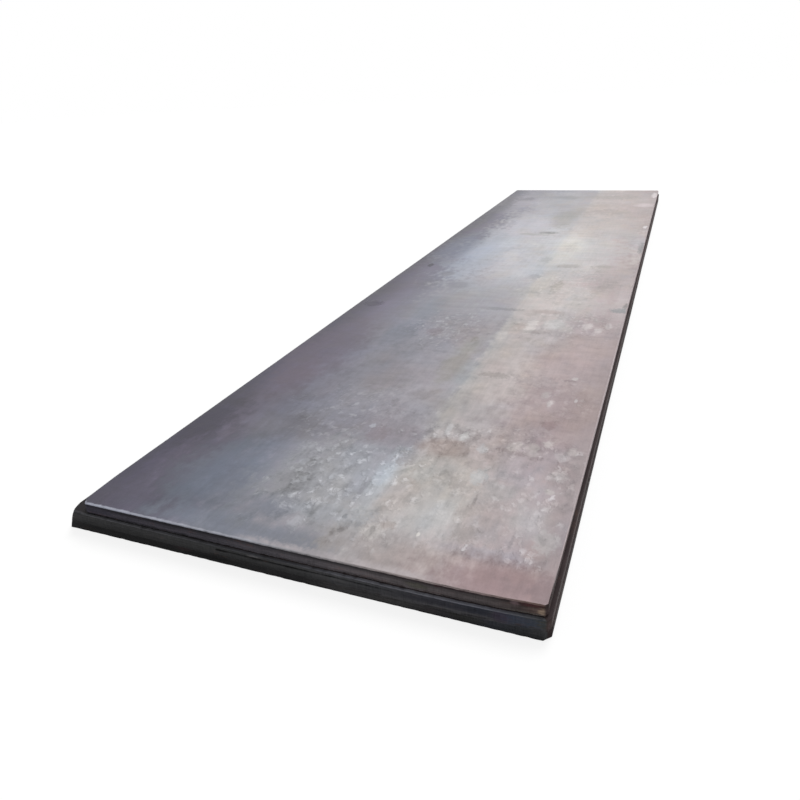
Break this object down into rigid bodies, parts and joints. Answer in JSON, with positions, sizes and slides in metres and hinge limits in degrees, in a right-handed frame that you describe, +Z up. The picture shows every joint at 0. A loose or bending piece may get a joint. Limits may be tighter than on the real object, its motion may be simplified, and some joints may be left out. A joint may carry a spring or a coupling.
{
  "type": "stack of steel plates",
  "caption": "Long heavy hot-rolled steel plates with trimmed edges and clipped corners, lying flat on each other in one stack.",
  "frame": {"origin": "on the floor, under the middle of the whole stack", "axes": "+Z up, out of the plates' upper faces; +Y along the plates, away from the end that is squared up and looked at; +X across them, to the right as seen from that end"},
  "size_m": [1.8968, 8.0208, 0.1356],
  "materials": {
    "pale_mill_scale": "pale blue-grey and pinkish-brown mill scale, dry and mottled, with thin rust on its edges",
    "dark_mill_scale": "dark grey mill scale with cut ends and a little rust"
  },
  "bodies": {
    "root": {"top_plate": "pale_mill_scale", "middle_plate": "dark_mill_scale", "bottom_plate": "dark_mill_scale"}
  },
  "joints": []
}
